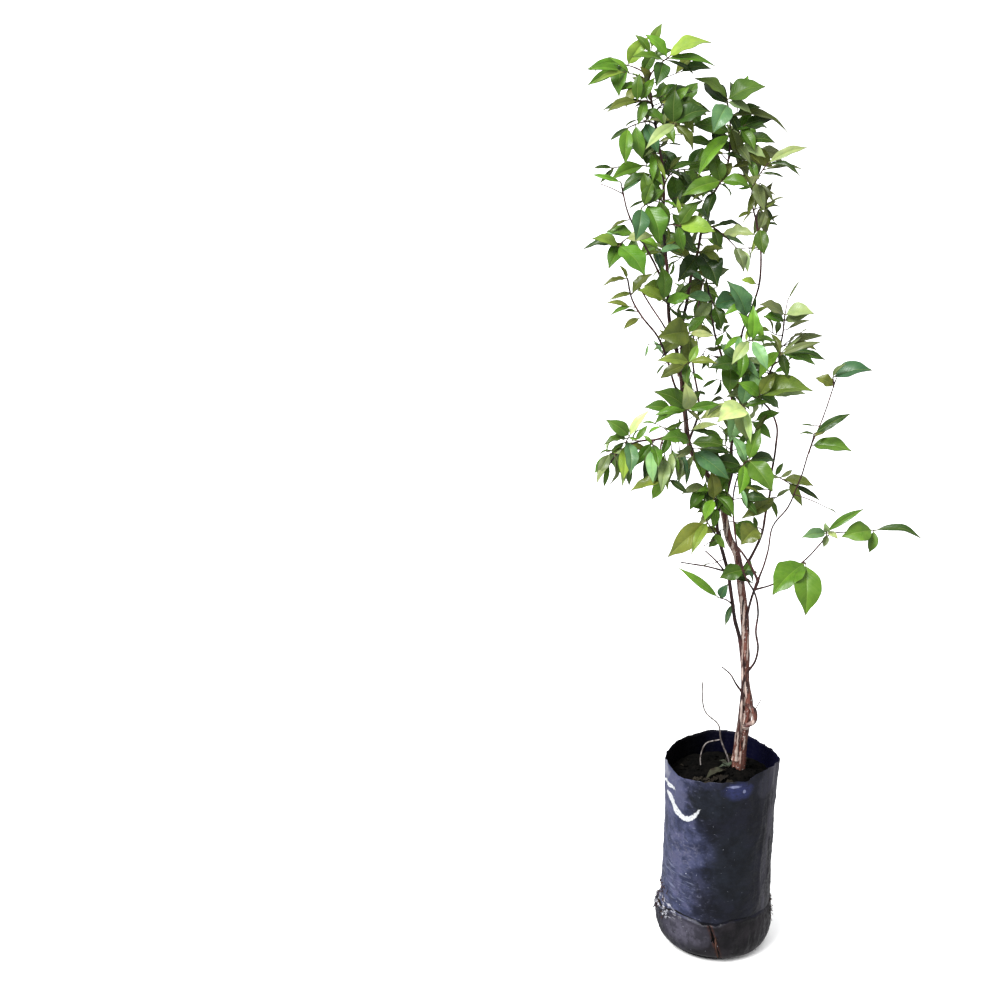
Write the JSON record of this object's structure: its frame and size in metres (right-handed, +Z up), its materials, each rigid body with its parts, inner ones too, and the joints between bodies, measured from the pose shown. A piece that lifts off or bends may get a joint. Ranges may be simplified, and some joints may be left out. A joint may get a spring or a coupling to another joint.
{
  "type": "jaboticaba sapling in a grow bag",
  "caption": "Young multi-stemmed jaboticaba plant with small pointed leaves, growing in soil in an open black polythene nursery bag.",
  "frame": {"origin": "centre of the bag's flat bottom, on the surface that it stands on", "axes": "+Z up along the bag, -Y towards the front, +X to the right as seen from the front"},
  "size_m": [0.3638, 0.1968, 1.0454],
  "materials": {
    "bag_film": "gloss",
    "soil": "matte",
    "bark": "satin",
    "leaf": "satin",
    "dry_twig": "matte",
    "root": "matte",
    "dead_leaf": "matte"
  },
  "bodies": {
    "root": {"arching_far_shoot": "leaf", "arching_low_shoot": "leaf", "arching_mid_shoot": "leaf", "arching_tip_shoot": "leaf", "big_left_shoot": "leaf", "big_right_shoot": "leaf", "dry_stalk": "dry_twig", "escaped_root": "root", "fallen_leaf": "dead_leaf", "far_left_shoot": "leaf", "far_left_tip_shoot": "leaf", "fork_leaves_shoot": "leaf", "fork_low_shoot": "leaf", "grow_bag": "bag_film", "hanging_low_shoot": "leaf", "hanging_mid_shoot": "leaf", "hanging_top_shoot": "leaf", "left_cluster_shoot": "leaf", "left_far_shoot": "leaf", "left_high_shoot": "leaf", "left_low_shoot": "leaf", "left_narrow_shoot": "leaf", "left_trunk_shoot": "leaf", "left_upper_tip_shoot": "leaf", "low_left_shoot": "leaf", "low_right_pair_shoot": "leaf", "low_right_shoot": "leaf", "low_right_tip_shoot": "leaf", "mid_back_shoot": "leaf", "mid_front_shoot": "leaf", "mid_left_shoot": "leaf", "mid_low_shoot": "leaf", "mid_middle_shoot": "leaf", "mid_pale_shoot": "leaf", "mid_top_shoot": "leaf", "mid_upper_shoot": "leaf", "near_fork_shoot": "leaf", "right_arching_shoot": "leaf", "right_dark_shoot": "leaf", "right_drooping_shoot": "leaf", "right_fan_shoot": "leaf", "right_inner_shoot": "leaf", "right_long_mid_shoot": "leaf", "right_long_tip_shoot": "leaf", "right_low_shoot": "leaf", "right_middle_shoot": "leaf", "right_pair_shoot": "leaf", "right_side_shoot": "leaf", "right_top_back_shoot": "leaf", "right_top_shoot": "leaf", "round_leaf_shoot": "leaf", "soil": "soil", "teal_leaf_shoot": "leaf", "top_left_shoot": "leaf", "top_right_shoot": "leaf", "trunk_and_branches": "bark", "trunk_leaf_shoot": "leaf", "upper_left_shoot": "leaf", "upper_mid_back_shoot": "leaf", "upper_mid_shoot": "leaf"}
  },
  "joints": []
}
